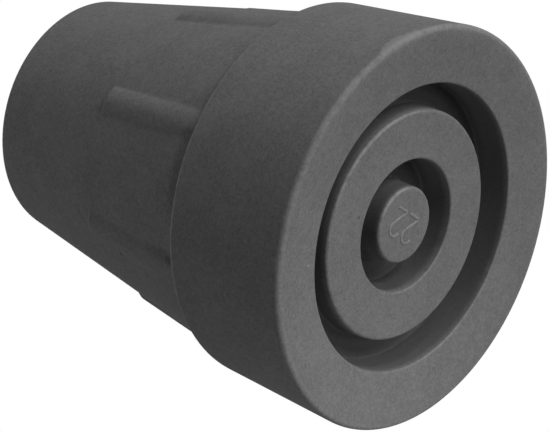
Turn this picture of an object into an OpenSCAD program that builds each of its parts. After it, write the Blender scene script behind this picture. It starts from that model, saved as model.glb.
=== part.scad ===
// Rubber cane tip: a flared push-on ferrule, moulded in one piece.
// It stands on its sole, with the bore's axis along +Z and the origin in the middle of the sole.

/* [Bore] */
// Diameter of the bore, which takes the shaft
bore_d = 22; // [19:0.5:25]
// Width of the lead-in chamfer round the mouth of the bore
bore_lead = 0.8; // [0.2:0.1:1.5]
// Radius of the corner at the bottom of the bore
bore_corner = 1; // [0.4:0.1:3]

/* [Body] */
// Overall height, from the sole to the mouth
height = 53; // [46:0.5:62]
// Rubber left between the sole and the bottom of the bore
tread = 13; // [9:0.5:20]
// Wall round the bore at the mouth
mouth_wall = 3.4; // [2.8:0.1:6]
// Wall round the bore where the body meets the collar
base_wall = 9.6; // [7.5:0.1:12]
// Rounding of the mouth's outer edge
mouth_round = 0.7; // [0.2:0.1:1.2]

/* [Collar] */
// Height of the collar above the sole
collar_h = 17; // [13:0.1:22]
// Step from the body out to the collar's back edge
collar_step = 1.3; // [0.9:0.1:3]
// How far the collar flares from its back edge down to the sole
collar_flare = 1.1; // [0.4:0.1:3]
// Rounding of the collar's back edge
back_round = 0.6; // [0.2:0.1:0.8]
// Rounding of the rim round the sole
rim_round = 0.5; // [0.2:0.1:1]

/* [Ribs] */
// Number of ribs that each half of the mould makes; its two halves part along the X axis
ribs_per_half = 4; // [2:1:4]
// Angle between neighbouring ribs of one half, in degrees
rib_pitch = 48; // [24:1:52]
// How far the ribs climb above the collar
rib_rise = 17.4; // [8:0.1:26]
// Width of a rib at its blunt upper end
rib_w = 3.3; // [2.4:0.1:4]
// Width of a rib where it runs into the collar
rib_root_w = 3.4; // [2.6:0.1:5]
// How far a rib stands out at its upper end
rib_proud = 0.85; // [0.5:0.05:1]
// How far a rib stands out where it runs into the collar
rib_root = 0.45; // [0.3:0.05:0.8]

/* [Sole] */
// Diameter of the boss in the middle
boss_d = 8.7; // [6:0.1:11]
// Width of the recess round the boss
recess_w = 3.25; // [2.4:0.05:4]
// Width of the ring between the recess and the groove
ring_w = 5.5; // [4:0.1:7]
// Width of the groove round the ring
groove_w = 3.25; // [2.4:0.05:4.5]
// Width of the flat ring that touches the ground, just inside the rim
rest_w = 1; // [0.4:0.1:2]
// How far the land dishes inwards, from that flat ring to its inner edge
dish = 0.75; // [0.2:0.05:1.2]
// How far the ring's face lies above the ground
ring_sink = 2; // [1.3:0.1:2.6]
// How far the boss's face lies above the ground
boss_sink = 2.3; // [1.3:0.1:2.8]
// Height of the groove's floor above the ground
groove_depth = 4.9; // [3.6:0.1:6]
// Height of the recess's floor above the ground
recess_depth = 6; // [3.8:0.1:7]
// Draft of the walls in the sole, in degrees
draft = 3; // [0:0.5:6]
// Rounding of the land's inner edge
land_round = 0.4; // [0.2:0.1:1]
// Rounding of the edges of the ring and the boss
tread_round = 0.4; // [0.2:0.1:0.6]
// Fillet at the bottom of the groove and the recess
root_round = 0.4; // [0.2:0.1:0.8]

/* [Hidden] */
$fn = 96;
ARC_TURN = 32;    // most degrees that one stretch of a rounded corner turns
EPS = 0.01;       // how far a cutter runs past the face it opens

bore_r = bore_d / 2;
mouth_r = bore_r + mouth_wall;
base_r = bore_r + base_wall;
back_r = base_r + collar_step;
sole_r = back_r + collar_flare;
boss_r = boss_d / 2;
ring_in_r = boss_r + recess_w;
ring_out_r = ring_in_r + ring_w;
land_r = ring_out_r + groove_w;
rest_r = sole_r - rim_round - rest_w;
rib_top = collar_h + rib_rise;

// Radius of the tapered body at a height
function body_r(z) = base_r + (mouth_r - base_r) * (z - collar_h) / (height - collar_h);

// How far a drafted wall leans over a given height
function lean(h) = h * tan(draft);

// The corner at b, between its neighbours a and c, rounded to a radius
function rounded(a, b, c, radius) =
    let (
        u = (a - b) / norm(a - b),
        v = (c - b) / norm(c - b),
        half = acos(u * v) / 2,
        turn = 180 - 2 * half,
        steps = ceil(turn / ARC_TURN),
        centre = b + (u + v) / norm(u + v) * radius / sin(half),
        from = b + u * radius / tan(half) - centre,
        to = b + v * radius / tan(half) - centre
    )
    [for (i = [0 : steps])
        let (w = i / steps)
        centre + (from * sin((1 - w) * turn) + to * sin(w * turn)) / sin(turn)];

// An outline from a list of corners [radius from the axis, height, rounding]
function outline(corners) =
    let (n = len(corners), at = [for (p = corners) [p[0], p[1]]])
    [for (i = [0 : n - 1])
        each corners[i][2] == 0
            ? [at[i]]
            : rounded(at[(i + n - 1) % n], at[i], at[(i + 1) % n], corners[i][2])];

// The section of the moulding, from the boss out along the sole and up to the mouth
section = [
    [0, boss_sink, 0],
    [boss_r, boss_sink, tread_round],
    [boss_r + lean(recess_depth - boss_sink), recess_depth, root_round],
    [ring_in_r - lean(recess_depth - ring_sink), recess_depth, root_round],
    [ring_in_r, ring_sink, tread_round],
    [ring_out_r, ring_sink, tread_round],
    [ring_out_r + lean(groove_depth - ring_sink), groove_depth, root_round],
    [land_r - lean(groove_depth - dish), groove_depth, root_round],
    [land_r, dish, land_round],
    [rest_r, 0, 0],
    [sole_r, 0, rim_round],
    [back_r, collar_h, back_round],
    [body_r(collar_h), collar_h, 0],
    [mouth_r, height, mouth_round],
    [0, height, 0]
];

module moulding() {
    rotate_extrude() polygon(outline(section));
}

// Radius of the round bar that shows this wide and this proud of the wall
function bar_r(width, proud) = (pow(width / 2, 2) + pow(proud, 2)) / (2 * proud);

// One rib: a round bar let into the tapered wall, blunt above and fuller towards the collar
module rib() {
    top_bar = bar_r(rib_w, rib_proud);
    root_bar = bar_r(rib_root_w, rib_root);
    top_r = body_r(rib_top) + rib_proud - top_bar;
    root_r = body_r(collar_h) + rib_root - root_bar;
    slope = atan2(root_r - top_r, rib_rise);
    seen_h = rib_rise / cos(slope);
    bar_h = seen_h + collar_step;
    translate([top_r, 0, rib_top])
        rotate([0, 180 - slope, 0])
            cylinder(h = bar_h, r1 = top_bar, r2 = top_bar + (root_bar - top_bar) * bar_h / seen_h,
                     $fn = 48);
}

// The ribs of each half, spread evenly about the middle of that half
module ribs() {
    for (half = [90, 270], i = [0 : ribs_per_half - 1])
        rotate([0, 0, half + (i - (ribs_per_half - 1) / 2) * rib_pitch]) rib();
}

// The bore, blind at the tread, with a rounded bottom corner and a lead-in at the mouth
module bore() {
    rotate_extrude()
        polygon(outline([
            [0, tread, 0],
            [bore_r, tread, bore_corner],
            [bore_r, height - bore_lead, 0],
            [bore_r + bore_lead + EPS, height + EPS, 0],
            [0, height + EPS, 0]
        ]));
}

module ferrule() {
    color("dimgray")
        difference() {
            union() {
                moulding();
                ribs();
            }
            bore();
        }
}

ferrule();
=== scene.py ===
# %% [markdown]
# # A rubber cane tip
#
# A cane tip is a thick cup of grey rubber that is pushed over the end of a walking stick. It comes
# out of its mould in one piece: a tapered body with short ribs, a wider collar, and a sole with a
# groove, a ring, a recess and a boss, all round the same axis. The packed CAD model fixes every
# size, and this script dresses it: it builds the moulding again with finer roundings, adds the
# small raised size number, and gives it a dusty matt rubber finish.

# %% Load the frame
import math
import bpy
import numpy as np
from mathutils import Matrix, Vector


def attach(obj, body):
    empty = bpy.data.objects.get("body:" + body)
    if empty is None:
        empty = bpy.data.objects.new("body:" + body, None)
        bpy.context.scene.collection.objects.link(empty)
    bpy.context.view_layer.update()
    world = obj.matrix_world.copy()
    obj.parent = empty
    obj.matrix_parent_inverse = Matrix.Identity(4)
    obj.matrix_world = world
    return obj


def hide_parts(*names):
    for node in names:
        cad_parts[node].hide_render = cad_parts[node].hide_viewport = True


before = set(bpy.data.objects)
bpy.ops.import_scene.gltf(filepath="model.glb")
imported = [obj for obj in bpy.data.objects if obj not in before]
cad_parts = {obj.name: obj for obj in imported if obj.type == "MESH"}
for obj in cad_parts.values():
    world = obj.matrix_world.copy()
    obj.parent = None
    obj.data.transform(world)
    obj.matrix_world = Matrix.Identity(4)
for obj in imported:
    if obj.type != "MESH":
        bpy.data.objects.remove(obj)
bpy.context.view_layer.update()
scene = bpy.context.scene
MM = 0.001

# %% [markdown]
# ## The camera
#
# The tip stands on its sole, and it is looked at from below and to one side, so that the sole fills
# the right half of the view and the body runs away to the left. A long lens, 28 centimetres away,
# keeps the circles of the sole close to true ellipses. The camera is given by its place, the way
# that it looks and the way that is up, because a turn in three angles says less to a reader.

# %% Place the camera
IMAGE_WIDTH = 550                            # pixels
FOCAL = 2400                                 # pixels
SENSOR = 36                                  # width of the film, mm
CAMERA_AT = Vector((59.299, -204.105, -153.184)) * MM
LOOK = Vector((-0.22965, 0.74031, 0.63182)).normalized()
UPWARDS = Vector((0.96227, 0.07536, 0.26146))

camera_data = bpy.data.cameras.new("camera")
camera_data.sensor_width = SENSOR
camera_data.lens = FOCAL / IMAGE_WIDTH * SENSOR
camera = bpy.data.objects.new("camera", camera_data)
scene.collection.objects.link(camera)
rightwards = LOOK.cross(UPWARDS).normalized()
axes = Matrix((rightwards, rightwards.cross(LOOK), -LOOK)).transposed()
camera.matrix_world = Matrix.Translation(CAMERA_AT) @ axes.to_4x4()
scene.camera = camera
print("Lens:", round(camera_data.lens, 1), "mm")

# %% [markdown]
# ## The section of the moulding
#
# Everything but the ribs and the number is round, so it could be a curve with the Screw modifier, a
# stack of cylinders, or one section turned about the axis. The section wins: each corner of it gets
# its own radius, and one mesh has no seams. The sizes are those of the CAD model, in millimetres,
# and only some roundings differ a little. The corners go from the boss out along the sole, up the
# collar and the body, over the mouth and down the bore.

# %% Sizes of the moulding
HEIGHT, TREAD, COLLAR_H = 53, 13, 17         # whole tip, rubber under the bore, collar
BORE_R, BORE_LEAD, BORE_CORNER = 11, 0.8, 1  # bore, its lead-in, its bottom corner
MOUTH_R, BASE_R = 14.4, 20.6                 # body at the mouth, body at the collar
BACK_R, SOLE_R = 21.9, 23                    # collar at its back edge, collar at the sole
BOSS_R, RING_IN_R, RING_OUT_R = 4.35, 7.6, 13.1
LAND_R, REST_R = 16.35, 21.5                 # inner edge of the land, and where it touches down
BOSS_SINK, RING_SINK, DISH = 2.3, 2, 0.75    # how far the boss, ring and land stand back
GROOVE_DEPTH, RECESS_DEPTH = 4.9, 6
DRAFT = math.radians(3)                      # lean of the walls in the sole


def lean(height):
    """How far a drafted wall leans over a height."""
    return height * math.tan(DRAFT)


def body_r(z):
    """Radius of the tapered body at a height."""
    return BASE_R + (MOUTH_R - BASE_R) * (z - COLLAR_H) / (HEIGHT - COLLAR_H)


print("Radius of the body halfway up:", body_r((HEIGHT + COLLAR_H) / 2), "mm")

# %% The corners: radius from the axis, height, rounding
RIM_ROUND, BACK_ROUND, MOUTH_ROUND = 0.6, 0.6, 0.7
EDGE_ROUND, INNER_ROUND, LAND_ROUND = 0.4, 0.25, 0.25
ROOT_FILLET, COLLAR_FILLET = 0.3, 0.25       # in the floors of the grooves, beside the collar
LEAD_ROUND, BORE_ROUND = 0.15, 0.3           # the two edges of the lead-in
REST_BLEND = 11                              # the land runs out of its dish without an edge
SOLE = [
    (BOSS_R, BOSS_SINK, EDGE_ROUND),
    (BOSS_R + lean(RECESS_DEPTH - BOSS_SINK), RECESS_DEPTH, ROOT_FILLET),
    (RING_IN_R - lean(RECESS_DEPTH - RING_SINK), RECESS_DEPTH, ROOT_FILLET),
    (RING_IN_R, RING_SINK, INNER_ROUND),
    (RING_OUT_R, RING_SINK, EDGE_ROUND),
    (RING_OUT_R + lean(GROOVE_DEPTH - RING_SINK), GROOVE_DEPTH, ROOT_FILLET),
    (LAND_R - lean(GROOVE_DEPTH - DISH), GROOVE_DEPTH, ROOT_FILLET),
    (LAND_R, DISH, LAND_ROUND),
    (REST_R, 0, REST_BLEND),
    (SOLE_R, 0, RIM_ROUND),
    (BACK_R, COLLAR_H, BACK_ROUND),
]
WALL = [(body_r(COLLAR_H), COLLAR_H, COLLAR_FILLET), (MOUTH_R, HEIGHT, MOUTH_ROUND)]
BORE = [
    (BORE_R + BORE_LEAD, HEIGHT, LEAD_ROUND),
    (BORE_R, HEIGHT - BORE_LEAD, BORE_ROUND),
    (BORE_R, TREAD, BORE_CORNER),
]
CORNERS = SOLE + WALL + BORE
START, END = (0, BOSS_SINK), (0, TREAD)
print(len(CORNERS), "corners in the section")

# %% Round the corners
ARC_STEP = math.radians(13)                  # most that one step of a rounding turns
FEWEST_STEPS = 3


def rounded(before, corner, after, radius):
    """Points of the arc that rounds a corner."""
    before, corner, after = (np.array(point[:2], float) for point in (before, corner, after))
    back = (before - corner) / np.linalg.norm(before - corner)
    on = (after - corner) / np.linalg.norm(after - corner)
    half = math.acos(np.clip(back @ on, -1, 1)) / 2
    turn = math.pi - 2 * half
    centre = corner + (back + on) / np.linalg.norm(back + on) * radius / math.sin(half)
    first = corner + back * radius / math.tan(half) - centre
    last = corner + on * radius / math.tan(half) - centre
    shares = np.linspace(0, turn, max(FEWEST_STEPS, math.ceil(turn / ARC_STEP)) + 1)
    arc = [first * math.sin(turn - s) + last * math.sin(s) for s in shares]
    return [centre + point / math.sin(turn) for point in arc]


outline = [np.array(START, float)]
for k, corner in enumerate(CORNERS):
    before = CORNERS[k - 1] if k else START
    after = CORNERS[k + 1] if k + 1 < len(CORNERS) else END
    outline += rounded(before, corner, after, corner[2])
outline.append(np.array(END, float))
print(len(outline), "points in the rounded section")

# %% Put rows between the corners
ROW_SPACING = 3
HOLD = 0.08                                  # distance of the row that keeps a flat face flat
TOO_SHORT = 4 * HOLD                         # a stretch that needs no rows of its own


def holding(a, b):
    """Rows between two points: one close to each end, and the rest evenly spread."""
    length = np.linalg.norm(b - a)
    if length < TOO_SHORT:
        return []
    inner = np.linspace(HOLD, length - HOLD, max(1, round(length / ROW_SPACING)) + 1)
    return [a + (b - a) * s / length for s in inner]


rows = [outline[0]]
for a, b in zip(outline, outline[1:]):
    rows += holding(a, b) + [b]
rows = np.array(rows)
print(len(rows), "rows before the ribs")

# %% [markdown]
# ## The ribs
#
# Eight short ribs climb from the collar up the tapered wall, four from each half of the mould. Each
# is a round bar that is let into the wall, with a blunt upper end, and it gets lower and wider
# towards the collar. A boolean with eight cones would leave long thin faces and a hard crease. Here
# the wall itself is moved out instead: the radius is the larger of wall and bar, through a smooth
# maximum that leaves a small fillet at the foot. Rows and columns are close together only where a
# rib needs them.

# %% Shape of a rib
HALVES = 90, 270                             # middles of the two halves of the mould, degrees
RIBS_PER_HALF, RIB_PITCH = 4, 48             # and the degrees between two ribs
RIB_RISE = 17.4
RIB_TOP = COLLAR_H + RIB_RISE
RIB_TOP_W, RIB_ROOT_W = 3.3, 3.4             # widths at the blunt end and at the collar
RIB_PROUD, RIB_ROOT = 0.65, 0.45             # how far it stands out there
RIB_END = 0.5                                # length of the rounding at the blunt end
RIB_FILLET = 0.16                            # size of the fillet at the foot
BURIED = 0.2                                 # how far the bar's end dips under the wall
UNDER = -1                                   # beside the bar, well under the wall


def bar_r(width, proud):
    """Radius of the round bar that shows this wide and this proud of the wall."""
    return ((width / 2) ** 2 + proud ** 2) / (2 * proud)


def smooth_max(a, b, size):
    """The larger of two values, with the crease between them filled."""
    return np.maximum(a, b) + np.maximum(size - np.abs(a - b), 0) ** 2 / (4 * size)


def rib_height(angle, z):
    """How far the wall stands out at an angle from the middle of a rib, at a height."""
    along = np.clip((RIB_TOP - z) / RIB_RISE, 0, 1)
    bar = bar_r(RIB_TOP_W, RIB_PROUD) * (1 - along) + bar_r(RIB_ROOT_W, RIB_ROOT) * along
    middle = body_r(z) + RIB_PROUD * (1 - along) + RIB_ROOT * along - bar
    across = middle * np.sin(angle)
    skin = middle * np.cos(angle) + np.sqrt(np.maximum(bar ** 2 - across ** 2, 0)) - body_r(z)
    skin = np.where(np.abs(across) < bar, skin, UNDER)
    end = np.sqrt(1 - np.clip((z - RIB_TOP) / RIB_END + 1, 0, 1) ** 2)
    return smooth_max((skin + BURIED) * end - BURIED, 0, RIB_FILLET)


halfway = rib_height(0, RIB_TOP - RIB_RISE / 2)
print("A rib stands out", round(float(halfway), 3), "mm halfway along")

# %% Rows that a rib needs
ALONG_RIB = 1.2                              # between rows on the straight of a rib
END_GAP, END_ROWS = 0.2, 9                   # before the blunt end's rounding, and rows on it
PAST_END = 0.05, 0.12, 0.25, 0.5             # rows just above a rib
ABOVE_FROM, ABOVE_STEP = 2, 2.5              # first row on the bare wall above, and the next ones
CLEAR = 1                                    # from the new rows to the roundings at both ends
MARGIN = 0.5                                 # so far past the new rows, the old ones go
TINY = 1e-6

radii, heights = rows.T
wall_foot = np.flatnonzero((heights < COLLAR_H + TINY) & (radii > BASE_R))[-1]
wall_top = np.flatnonzero(heights > HEIGHT - MOUTH_ROUND)[0]
low, high = heights[wall_foot] + CLEAR, HEIGHT - MOUTH_ROUND - CLEAR
rib_rows = np.concatenate([
    np.arange(low, RIB_TOP - RIB_END - END_GAP, ALONG_RIB),
    RIB_TOP - RIB_END + RIB_END * np.sin(np.linspace(0, math.pi / 2, END_ROWS)),
    RIB_TOP + np.array(PAST_END),
    np.arange(RIB_TOP + ABOVE_FROM, high, ABOVE_STEP),
])
wall_rows = np.array([(body_r(z), z) for z in rib_rows])
kept = (heights <= low - MARGIN) | (heights >= high + MARGIN)
kept |= radii <= BORE_R + BORE_LEAD + MARGIN
below, above = rows[:wall_top][kept[:wall_top]], rows[wall_top:][kept[wall_top:]]
rows = np.concatenate([below, wall_rows, above])
print(len(rows), "rows with the ribs")

# %% Columns that a rib needs
RIB_SPAN = 7                                 # degrees on each side of a rib with close columns
CLOSE, WIDE = 34, 12                         # columns on a rib, and between two ribs
one_half = (np.arange(RIBS_PER_HALF) - (RIBS_PER_HALF - 1) / 2) * RIB_PITCH
rib_at = np.concatenate([half + one_half for half in HALVES])
degrees, from_rib = [], []
for here, following in zip(rib_at, np.append(rib_at[1:], rib_at[0] + 360)):
    offsets = np.concatenate([
        np.linspace(-RIB_SPAN, RIB_SPAN, CLOSE + 1)[:-1],
        np.linspace(RIB_SPAN, following - here - RIB_SPAN, WIDE + 1)[:-1],
    ])
    degrees.append(here + offsets)
    from_rib.append(offsets)
columns, from_rib = (np.radians(np.concatenate(parts)) for parts in (degrees, from_rib))
print(len(columns), "columns, with ribs at", rib_at, "degrees")

# %% [markdown]
# ## One mesh for the whole moulding
#
# The real tip is one moulding, so it is one closed mesh. The rows are turned about the axis, and
# the ribs are added to the rows of the body's outer wall. The two ends of the section lie on the
# axis, in the middle of the boss and of the bore's floor. Rings of no size there would leave faces
# without an area, so each end becomes one point with a fan of triangles, and the mesh can be
# printed.

# %% Turn the section


def new_mesh(name, points, faces):
    """A smooth-shaded mesh object from points in millimetres."""
    mesh = bpy.data.meshes.new(name)
    mesh.from_pydata((np.asarray(points) * MM).tolist(), [], faces)
    mesh.validate()
    mesh.shade_smooth()
    made = bpy.data.objects.new(name, mesh)
    scene.collection.objects.link(made)
    return made


def turned(rows, columns, from_rib):
    """Points and faces of the section turned about the axis."""
    radius = np.repeat(rows[:, :1], len(columns), axis=1)
    height = np.repeat(rows[:, 1:], len(columns), axis=1)
    outside = (rows[:, 0] > BORE_R + BORE_LEAD) & (rows[:, 1] > COLLAR_H - TINY)
    outside &= rows[:, 0] < body_r(COLLAR_H) + COLLAR_FILLET + TINY
    for k in np.flatnonzero(outside):
        radius[k] += rib_height(from_rib, max(rows[k, 1], COLLAR_H))
    points = np.stack([radius * np.cos(columns), radius * np.sin(columns), height], axis=-1)
    rings = points[1:-1].reshape(-1, 3)
    wide, last = len(columns), len(rings)
    faces = []
    for k in range(last // wide - 1):
        for j in range(wide):
            on = (j + 1) % wide
            faces.append((k * wide + j, k * wide + on, (k + 1) * wide + on, (k + 1) * wide + j))
    tail = last - wide
    for j in range(wide):
        on = (j + 1) % wide
        faces += [(last, on, j), (last + 1, tail + j, tail + on)]
    return np.concatenate([rings, [points[0, 0], points[-1, 0]]]), faces


tip = new_mesh("cane_tip", *turned(rows, columns, from_rib))
print(len(tip.data.polygons), "faces in", tip.name)

# %% [markdown]
# ## The raised number
#
# The mould leaves the width of the bore, 22 millimetres, as two small raised figures on the boss.
# A text object would be quick, but these strokes are narrow round-topped beads, as a cutter sinks
# them into a mould. Each figure is two beads: the bow that runs down into the slant, and the foot.
# A bead is a low rounded section that is swept along its path and reaches a little into the boss.

# %% The paths of a figure
BOW_AT, BOW_R = (0.86, 2.35), 0.85           # middle and radius of the bow, from the foot's corner
BOW_FROM, BOW_TO, BOW_POINTS = 168, -38, 15  # degrees
SLANT_END = np.array((-0.08, 0.08))
SLANT_STEPS = 0.25, 0.5, 0.75, 1             # shares of the slant
FOOT_FROM, FOOT_TO, FOOT_POINTS = -0.2, 1.8, 4

bend = np.radians(np.linspace(BOW_FROM, BOW_TO, BOW_POINTS))
bow = [(BOW_AT[0] + BOW_R * math.cos(a), BOW_AT[1] + BOW_R * math.sin(a)) for a in bend]
slant = [tuple(bow[-1] + (SLANT_END - bow[-1]) * s) for s in SLANT_STEPS]
foot = [(across, 0) for across in np.linspace(FOOT_FROM, FOOT_TO, FOOT_POINTS)]
print(len(bow + slant), "points from the bow to the end of the slant,", len(foot), "in the foot")

# %% Sweep a bead along a path
STROKE, PROUD, SUNK = 0.4, 0.1, 0.12         # width and height of a bead, and how far it goes in
SHOULDER, SHOULDER_UP = 0.32, 0.6 * PROUD    # share of the width, height
BEAD = [
    (-0.5, -SUNK), (-0.5, 0), (-SHOULDER, SHOULDER_UP), (0, PROUD),
    (SHOULDER, SHOULDER_UP), (0.5, 0), (0.5, -SUNK),
]


def bead(path, place):
    """Points and faces of a closed bead. Place turns (across, up, proud) into the tip's frame."""
    path = np.array(path)
    along = np.gradient(path, axis=0)
    along /= np.linalg.norm(along, axis=1)[:, None]
    side = np.stack([along[:, 1], -along[:, 0]], axis=1)
    points, faces, n = [], [], len(BEAD)
    for at, way in zip(path, side):
        points += [place(*(at + way * across * STROKE), proud) for across, proud in BEAD]
    for k in range(len(path) - 1):
        for j in range(n):
            on = (j + 1) % n
            faces.append((k * n + j, k * n + on, (k + 1) * n + on, (k + 1) * n + j))
    faces += [tuple(reversed(range(n))), tuple(range((len(path) - 1) * n, len(path) * n))]
    return points, faces


print(len(BEAD), "points round a bead", STROKE, "mm wide")

# %% Put the figures on the boss
FIRST_FOOT = 1.4, 1.89                       # lower left corner of the first figure
FIGURES = 0, 2.45                            # where each figure starts
NUMBER_TURN = math.radians(24)               # turn of the number about the axis


def figure_place(start):
    """From a figure's own plane to the boss, where up is -X and across is -Y before the turn."""
    def place(across, up, proud):
        x, y = FIRST_FOOT[0] - up, FIRST_FOOT[1] - start - across
        c, s = math.cos(NUMBER_TURN), math.sin(NUMBER_TURN)
        return c * x - s * y, s * x + c * y, BOSS_SINK - proud
    return place


number_points, number_faces = [], []
for start in FIGURES:
    for path in (bow + slant, foot):
        points, faces = bead(path, figure_place(start))
        number_faces += [tuple(i + len(number_points) for i in face) for face in faces]
        number_points += points
number = new_mesh("size_number", number_points, number_faces)
print(len(number.data.polygons), "faces in", number.name)

# %% [markdown]
# ## Shader maths
#
# A material is a set of nodes with wires between them. Two small classes keep that readable. A Wire
# is one output of a node, and a sum with wires in it adds the Math nodes by itself. A Recipe is a
# node tree, with one method that adds any node: its type, its settings, and what goes into it.
# The other methods are short names for the nodes that come up often.

# %% Wires and recipes


class Wire:
    """One output socket, which can be used in sums."""

    def __init__(self, recipe, socket):
        self.recipe, self.socket = recipe, socket

    def maths(self, operation, a, b):
        """A Math node with two inputs."""
        return self.recipe.node("ShaderNodeMath", {"operation": operation}, {0: a, 1: b})

    def __add__(self, other):
        return self.maths("ADD", self, other)

    def __sub__(self, other):
        return self.maths("SUBTRACT", self, other)

    def __rsub__(self, other):
        return self.maths("SUBTRACT", other, self)

    def __mul__(self, other):
        return self.maths("MULTIPLY", self, other)

    __radd__, __rmul__ = __add__, __mul__


class Recipe:
    """A node tree that is written one node at a time."""

    def __init__(self, owner):
        owner.use_nodes = True
        self.tree = owner.node_tree
        self.tree.nodes.clear()

    def node(self, kind, settings=None, inputs=None, output=None):
        """Adds a node and returns the wire of its named output, or of its first one."""
        made = self.tree.nodes.new(kind)
        for name, value in (settings or {}).items():
            setattr(made, name, value)
        for name, value in (inputs or {}).items():
            if isinstance(name, int):
                socket = made.inputs[name]
            else:
                socket = next(s for s in made.inputs if s.name == name and s.enabled)
            if isinstance(value, Wire):
                self.tree.links.new(value.socket, socket)
            else:
                socket.default_value = value
        usable = [s for s in made.outputs if s.enabled and output in (None, s.name)]
        return Wire(self, usable[0]) if usable else None

    def vector(self, operation, *inputs):
        """Vector Math. A length, a distance or a dot product comes out as a number."""
        output = "Value" if operation in ("LENGTH", "DISTANCE", "DOT_PRODUCT") else "Vector"
        settings = {"operation": operation}
        return self.node("ShaderNodeVectorMath", settings, dict(enumerate(inputs)), output)

    def blend(self, factor, a, b, kind="MIX"):
        """A colour between two colours, or another way of bringing them together."""
        inputs = {"Factor": factor, "A": a, "B": b}
        return self.node("ShaderNodeMix", {"data_type": "RGBA", "blend_type": kind}, inputs)

    def between(self, value, low, high):
        """0 below low, 1 above high, and a smooth rise between them."""
        inputs = {"Value": value, "From Min": low, "From Max": high}
        return self.node("ShaderNodeMapRange", {"interpolation_type": "SMOOTHSTEP"}, inputs)


print("A recipe has", ", ".join(name for name in vars(Recipe) if not name.startswith("_")))

# %% [markdown]
# ## The skin of the rubber
#
# Moulded rubber of this kind is dark grey with a dusty bloom, and almost matt. The bloom isn't
# even: it lies in soft patches, with a fine grain from the skin of the mould on top, and here and
# there a pale or a dark speck. An image would be one way, but noise in the tip's own millimetres
# holds in every view and at every size. In what follows, a pair of numbers is mostly a range: a
# mask is 0 at the first one and 1 at the second.

# %% Noise and specks
NOISE_ROUGHNESS, NOISE_MIDDLE = 0.55, 0.5
SPECK_R, SPECK_CORE = 0.13, 0.5              # mm, and the share of it that has the full colour


def noise(recipe, place, scale, detail):
    """Soft noise with this many features in one unit of place."""
    inputs = {"Vector": place, "Scale": scale, "Detail": detail, "Roughness": NOISE_ROUGHNESS}
    return recipe.node("ShaderNodeTexNoise", {}, inputs)


def specks(recipe, place, scale):
    """1 in a few small round spots, 0 elsewhere."""
    apart = recipe.node("ShaderNodeTexVoronoi", {}, {"Vector": place, "Scale": scale}, "Distance")
    return 1 - recipe.between(apart, SPECK_CORE * SPECK_R * scale, SPECK_R * scale)


rubber = bpy.data.materials.new("dusty_rubber")
recipe = Recipe(rubber)
place = recipe.node("ShaderNodeTexCoord", output="Object")
in_mm = recipe.node("ShaderNodeVectorMath", {"operation": "SCALE"}, {0: place, "Scale": 1 / MM})
print("Recipe for", rubber.name)

# %% Bloom, grain and specks
GREY, BLOOM = (0.130, 0.130, 0.129, 1), (0.148, 0.148, 0.148, 1)
PATCHES, MOTTLE, GRAIN = (0.22, 3), (1.3, 3), (3.6, 4)         # features a millimetre, detail
PATCH_SHARE = 0.45                                             # the mottle makes the rest
BLOOM_RANGE, GRAIN_RANGE = (0.38, 0.62), (0.3, 0.7)
GRAIN_DARK, GRAIN_LIGHT = (0.87, 0.87, 0.87, 1), (1.13, 1.13, 1.13, 1)
PALE_SPECK, PALE_SCALE = (0.22, 0.22, 0.22, 1), 0.31           # colour, specks a millimetre
DARK_SPECK, DARK_SCALE = (0.07, 0.07, 0.07, 1), 0.27

patches = noise(recipe, in_mm, *PATCHES)
mottle = noise(recipe, in_mm, *MOTTLE)
grain = noise(recipe, in_mm, *GRAIN)
bloom = recipe.between(patches * PATCH_SHARE + mottle * (1 - PATCH_SHARE), *BLOOM_RANGE)
skin = recipe.blend(bloom, GREY, BLOOM)
grain_tone = recipe.blend(recipe.between(grain, *GRAIN_RANGE), GRAIN_DARK, GRAIN_LIGHT)
skin = recipe.blend(1.0, skin, grain_tone, "MULTIPLY")
skin = recipe.blend(specks(recipe, in_mm, PALE_SCALE), skin, PALE_SPECK)
skin = recipe.blend(specks(recipe, in_mm, DARK_SCALE), skin, DARK_SPECK)
print(len(recipe.tree.nodes), "nodes with the skin")

# %% [markdown]
# ## Painted shade in the grooves
#
# Shade is painted into the groove and the recess as a darker colour down there. Two materials
# would leave a hard line between them. The mask comes from the distance to the axis and the
# height instead, so that the painted shade runs softly down the walls. The land lies nearer to
# the ground than the ring does, so out there the depth counts from the land.

# %% Paint shade into the grooves
# Painted shade: the colour that the groove and the recess darken towards.
GROOVE_SHADE, GROOVE_SHADE_SHARE = (0.06, 0.06, 0.06, 1), 0.68
PAST_GROOVE = LAND_R, LAND_R + 0.3                             # from the axis
ON_LAND = RING_OUT_R + 2, LAND_R - 0.5
IN_GROOVE = BOSS_SINK, BOSS_SINK + 1                           # above the ground
IN_BORE = RECESS_DEPTH + 0.5, RECESS_DEPTH + 2                 # the bore isn't a groove

from_axis = recipe.vector("LENGTH", recipe.vector("MULTIPLY", in_mm, (1, 1, 0)))
height = recipe.node("ShaderNodeSeparateXYZ", {}, {"Vector": in_mm}, "Z")
inside = 1 - recipe.between(from_axis, *PAST_GROOVE)
sunk = height + recipe.between(from_axis, *ON_LAND) * (BOSS_SINK - DISH)
groove = inside * recipe.between(sunk, *IN_GROOVE) * (1 - recipe.between(height, *IN_BORE))
# Painted shade in the groove and the recess
skin = recipe.blend(groove * GROOVE_SHADE_SHARE, skin, GROOVE_SHADE)
print(len(recipe.tree.nodes), "nodes with the grooves")
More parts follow.
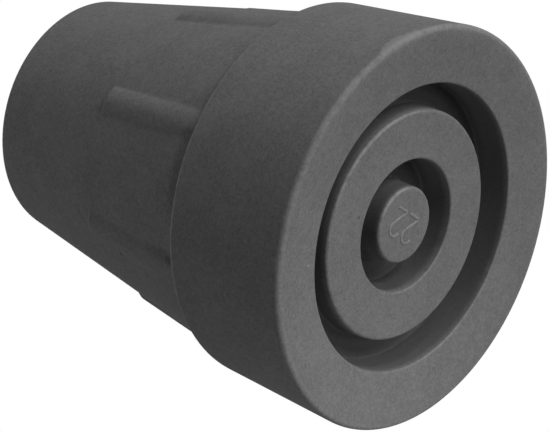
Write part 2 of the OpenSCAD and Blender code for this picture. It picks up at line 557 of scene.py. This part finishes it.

# %% [markdown]
# ## Painted shade beside the collar
#
# Shade is painted into the corner where the body runs into the collar, on one side of the tip,
# where the collar's step shades the body, and as a short streak beside one rib. It could be painted
# by hand on an unwrapped mesh, but three facts say as much: how high above the collar a point is,
# which way the wall faces there, and how far it is from the streak. The mottle makes the upper edge
# of the painted shade waver.

# %% Paint shade into the corner
# Painted shade: the colour of the corner beside the collar and of the streak beside one rib.
SHADE_COLOUR, SHADE_SHARE = (0.05, 0.05, 0.048, 1), 0.45
SHADED_SIDE, SHADED_TURN = (0.1, -0.995, 0), (0.95, 0.99)         # the side in shade, and how far round
SHADE_TOP, SHADE_WAVER = (COLLAR_H + 1.6, COLLAR_H + 3), 2     # mm
CORNER_STRENGTH, STREAK_STRENGTH = 0.85, 0.6
STREAK_AT, STREAK_RANGE = (-6.50, -19.35, 20.6), (0.2, 1.3)
STREAK_SQUEEZE = 1, 1, 0.25                                    # four times as long as it is wide
ABOVE_COLLAR = COLLAR_H - 0.3, COLLAR_H - 0.1
OUTER_WALL = BORE_R + 1, BORE_R + 2
ON_STEP = BASE_R + 0.5, BASE_R + 0.9                           # the collar's step gets no painted shade


def turned_to(recipe, facing, way, low, high):
    """1 where the surface faces a way, 0 where it faces away from it."""
    return recipe.between(recipe.vector("DOT_PRODUCT", facing, way), low, high)


facing = recipe.node("ShaderNodeTexCoord", output="Normal")
on_wall = recipe.between(height, *ABOVE_COLLAR) * recipe.between(from_axis, *OUTER_WALL)
off_step = 1 - recipe.between(from_axis, *ON_STEP)
near_collar = 1 - recipe.between(height + (mottle - NOISE_MIDDLE) * SHADE_WAVER, *SHADE_TOP)
corner = near_collar * turned_to(recipe, facing, SHADED_SIDE, *SHADED_TURN) * CORNER_STRENGTH
aside = recipe.vector("MULTIPLY", recipe.vector("SUBTRACT", in_mm, STREAK_AT), STREAK_SQUEEZE)
streak = 1 - recipe.between(recipe.vector("LENGTH", aside), *STREAK_RANGE)
# Painted shade in the corner and in the streak beside the rib
painted_shade = on_wall * off_step * (corner + streak * STREAK_STRENGTH)
skin = recipe.blend(painted_shade * SHADE_SHARE, skin, SHADE_COLOUR)
print(len(recipe.tree.nodes), "nodes with the dirt")

# %% [markdown]
# ## Painted highlights on the edges
#
# Highlights are painted in as a lighter colour: on the rim, on the edges of the boss and the ring,
# on the tops of the figures and along the collar's back edge, and most where they face the light.
# The Pointiness of the Geometry node finds edges, but it depends on the mesh. The place of each
# edge is known here, so each gets a band of its own, and the noise breaks the bands up.

# %% Paint highlights on the edges
# Painted highlight: the lighter colour of the edges.
HIGHLIGHT, HIGHLIGHT_SHARE = (0.26, 0.26, 0.26, 1), 0.32
HIGHLIGHT_WAY, HIGHLIGHT_TURN = (0.56, -0.43, -0.707), (0.84, 0.99)  # the way that the painted highlight faces
PATCHY, PATCHY_MOTTLE, PATCHY_RANGE = 0.6, 0.6, (0.3, 0.6)     # how much the noise takes away
INWARDS, OUTWARDS, UPWARD = (-0.45, -0.15), (0, 0.15), (0.3, 0.6)    # mm from an edge
EDGE_HIGHLIGHT, EDGE_MORE = 0.6, 1.4            # all round, and on top of that where the highlight faces
FIGURE_TOPS, FIGURE_FIELD = (-0.06, -0.01), (-0.4, -0.2)       # mm from the boss's face and edge
FIGURE_HIGHLIGHT = 1.3
BACK_ACROSS, BACK_UP = (-0.55, -0.25), (-0.65, -0.35)          # mm from the collar's back edge
RIM_ACROSS, RIM_UP, RIM_HIGHLIGHT = (-1, -0.4), (0.35, 0.7), 0.75


def near(edge, steps):
    """The range that lies this far from an edge."""
    return [edge + step for step in steps]


# Painted highlight, strongest on the edges that face one way
highlit = turned_to(recipe, facing, HIGHLIGHT_WAY, *HIGHLIGHT_TURN) * (1 - groove)
for edge_r in (BOSS_R, RING_OUT_R):
    edge = recipe.between(from_axis, *near(edge_r, INWARDS))
    edge = edge * (1 - recipe.between(from_axis, *near(edge_r, OUTWARDS)))
    edge = edge * (1 - recipe.between(height, *near(BOSS_SINK, UPWARD)))
    highlit = highlit + edge * (EDGE_HIGHLIGHT + highlit * EDGE_MORE)
figures = 1 - recipe.between(height, *near(BOSS_SINK, FIGURE_TOPS))
figures = figures * (1 - recipe.between(from_axis, *near(BOSS_R, FIGURE_FIELD)))
highlit = highlit + figures * FIGURE_HIGHLIGHT
back_edge = recipe.between(from_axis, *near(BACK_R, BACK_ACROSS))
highlit = highlit + back_edge * recipe.between(height, *near(COLLAR_H, BACK_UP))
rim = recipe.between(from_axis, *near(SOLE_R, RIM_ACROSS)) * (1 - recipe.between(height, *RIM_UP))
highlit = highlit + rim * (1 - highlit) * RIM_HIGHLIGHT
breaks = recipe.between(mottle * PATCHY_MOTTLE + grain * (1 - PATCHY_MOTTLE), *PATCHY_RANGE)
broken_up = (1 - PATCHY) + PATCHY * breaks
# The painted highlight goes into the colour
skin = recipe.blend(highlit * broken_up * HIGHLIGHT_SHARE, skin, HIGHLIGHT)
print(len(recipe.tree.nodes), "nodes with the rubbed edges")

# %% [markdown]
# ## Marks
#
# One long scuff on the rim, a pit in the body and two spots on the sole belong to this very tip, so
# noise can't place them. Each mark is a ball in space that colours what it touches, with an edge
# that the grain makes ragged. The scuff is a row of such balls that run into each other.

# %% Place the marks
SCUFF = (0.187, 0.187, 0.187, 1)
MARK_CORE = 0.7                              # share of a mark's radius that has the full colour
MARKS = [
    # x, y, z, radius, colour
    (20.05, -11.0, 0.35, 0.42, SCUFF),                         # one long scuff on the rim
    (20.4, -10.4, 0.55, 0.6, SCUFF),
    (20.8, -9.6, 0.7, 0.72, SCUFF),
    (21.2, -8.75, 0.7, 0.78, SCUFF),
    (21.55, -7.85, 0.65, 0.76, SCUFF),
    (21.9, -6.9, 0.5, 0.66, SCUFF),
    (22.2, -5.9, 0.4, 0.5, SCUFF),
    (-9.41, -15.94, 29.1, 0.3, DARK_SPECK),                    # pit in the body
    (-2.48, -17.45, 0.5, 0.2, PALE_SPECK),                     # on the land
    (1.66, -8.59, 2, 0.16, DARK_SPECK),                        # on the ring
]
for x, y, z, radius, colour in MARKS:
    ragged = recipe.vector("DISTANCE", in_mm, (x, y, z)) + (grain - NOISE_MIDDLE) * radius
    skin = recipe.blend(1 - recipe.between(ragged, MARK_CORE * radius, radius), skin, colour)
print(len(MARKS), "marks")

# %% [markdown]
# ## The finish of the rubber
#
# The rubber is so dull that it throws back almost no highlight, and the bloom makes it duller
# still. The usual specular level of a plastic would put a grey veil on the walls that are seen at a
# low angle, so it is set close to nothing. The grain feeds a very low bump as well as the colour.

# %% Join the finish
ROUGHNESS, BLOOM_ROUGHNESS = 0.72, 0.1       # of clean rubber, and what the bloom adds
BUMP_HEIGHT = 0.02 * MM
SPECULAR = 0.005
inputs = {"Strength": 1.0, "Distance": BUMP_HEIGHT, "Height": grain}
bump = recipe.node("ShaderNodeBump", {}, inputs)
surface = recipe.node("ShaderNodeBsdfPrincipled", {}, {
    "Base Color": skin,
    "Roughness": ROUGHNESS + BLOOM_ROUGHNESS * bloom,
    "Specular IOR Level": SPECULAR,
    "Normal": bump,
})
recipe.node("ShaderNodeOutputMaterial", {}, {"Surface": surface})
print(len(recipe.tree.nodes), "nodes in", rubber.name)

# %% [markdown]
# ## The floor
#
# The tip stands on a pale studio floor. The camera looks up at the sole through that floor, so the
# floor has one side only: from below it lets everything through. It catches the shadow of the tip
# for every view from above, and further out it fades into the white of the room. It throws no light
# back at the tip, so that the lamps alone make the form.

# %% Build the floor
FLOOR_R, FLOOR_SIDES = 1.5, 64               # m
FADE = 0.25, 0.8                             # m from the middle
PAINT_DARK, PAINT_LIGHT = (0.80, 0.80, 0.79, 1), (0.84, 0.84, 0.83, 1)
SPECKLE = 300, 3                             # features a metre, detail
ring_at = np.linspace(0, math.tau, FLOOR_SIDES + 1)[:-1]
ring = [(FLOOR_R * math.cos(a) / MM, FLOOR_R * math.sin(a) / MM, 0) for a in ring_at]
floor = new_mesh("floor", ring, [tuple(range(len(ring)))])
for ray in ("visible_diffuse", "visible_glossy", "visible_transmission", "visible_shadow"):
    setattr(floor, ray, False)
print("Floor", 2 * FLOOR_R, "m across")

# %% Paint the floor
floor_paint = bpy.data.materials.new("pale_floor")
recipe = Recipe(floor_paint)
place = recipe.node("ShaderNodeTexCoord", output="Object")
paint = recipe.blend(noise(recipe, place, *SPECKLE), PAINT_DARK, PAINT_LIGHT)
matt = {"Base Color": paint, "Roughness": 1.0, "Specular IOR Level": 0.0}
painted = recipe.node("ShaderNodeBsdfPrincipled", {}, matt)
clear = recipe.node("ShaderNodeBsdfTransparent")
faded = recipe.between(recipe.vector("LENGTH", place), *FADE)
from_below = recipe.node("ShaderNodeNewGeometry", output="Backfacing")
unseen = recipe.node("ShaderNodeMath", {"operation": "MAXIMUM"}, {0: faded, 1: from_below})
shown = recipe.node("ShaderNodeMixShader", {}, {0: unseen, 1: painted, 2: clear})
recipe.node("ShaderNodeOutputMaterial", {}, {"Surface": shown})
floor.data.materials.append(floor_paint)
print(len(recipe.tree.nodes), "nodes in", floor_paint.name)

# %% [markdown]
# ## Room and lamps
#
# The room is white to the eye and to reflections, and gives no light to anything else. An evenly
# bright room would be simpler, but it would fill the grooves with light and hide the form. A few
# soft lamps make it instead: each is placed by its direction round the tip and by its distance, and
# it is aimed at the middle of the tip. The card is small, faint and near, like a piece of white
# card that is held beside the collar.

# %% The room
WHITE = (1, 1, 1, 1)
ROOM_LIGHT = 0.0                             # what the room adds to the lamps
world = bpy.data.worlds.new("room")
scene.world = world
recipe = Recipe(world)
bright = recipe.node("ShaderNodeBackground", {}, {"Color": WHITE, "Strength": 1.0})
dark = recipe.node("ShaderNodeBackground", {}, {"Color": WHITE, "Strength": ROOM_LIGHT})
to_eye = recipe.node("ShaderNodeLightPath", output="Is Camera Ray")
to_gloss = recipe.node("ShaderNodeLightPath", output="Is Glossy Ray")
to_glass = recipe.node("ShaderNodeLightPath", output="Is Transmission Ray")
seen = to_eye + to_gloss + to_glass
shown = recipe.node("ShaderNodeMixShader", {}, {0: seen, 1: dark, 2: bright})
recipe.node("ShaderNodeOutputWorld", {}, {"Surface": shown})
print(len(recipe.tree.nodes), "nodes in", world.name)

# %% The lamps
LAMPS = [
    # name, azimuth, elevation, distance, width, watts
    ("key", 78, -43, 0.6, 0.2, 1.70),
    ("upper", 105, -7, 0.6, 0.2, 1.68),
    ("right", 111, -50, 0.6, 0.2, 0.90),
    ("below", 139, -69, 0.6, 0.2, 0.69),
    ("left", -11, 44, 0.6, 0.2, 1.15),
    ("side", -90, 39, 0.6, 0.2, 0.27),
    ("card", -76, -59, 0.078, 0.05, 0.0119),
    ("above", 0, 90, 0.6, 0.4, 1.0),
    ("behind", -163, 30, 0.6, 0.2, 2.3),
]
MIDDLE = Vector((0, 0, HEIGHT / 2 * MM))
for name, azimuth, elevation, distance, width, watts in LAMPS:
    across, up = math.radians(azimuth), math.radians(elevation)
    way = Vector((math.sin(across) * math.cos(up), -math.cos(across) * math.cos(up), math.sin(up)))
    lamp_data = bpy.data.lights.new(name, "AREA")
    lamp_data.shape, lamp_data.size, lamp_data.energy = "DISK", width, watts
    lamp = bpy.data.objects.new(name, lamp_data)
    lamp.location = MIDDLE + way * distance
    lamp.rotation_euler = way.to_track_quat("Z", "Y").to_euler()
    scene.collection.objects.link(lamp)
scene.view_settings.view_transform = "Standard"
print(len(LAMPS), "lamps")

# %% [markdown]
# ## Put the pieces into the frame
#
# Both pieces take the rubber and move with the tip's one body. The moulding stands for the CAD
# solid of the same form, which stays hidden for collisions. The number could be joined to it, but
# as a piece of its own it can be changed for another size of bore.

for piece in (tip, number):
    piece.data.materials.append(rubber)
    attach(piece, "root")
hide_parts("ferrule")
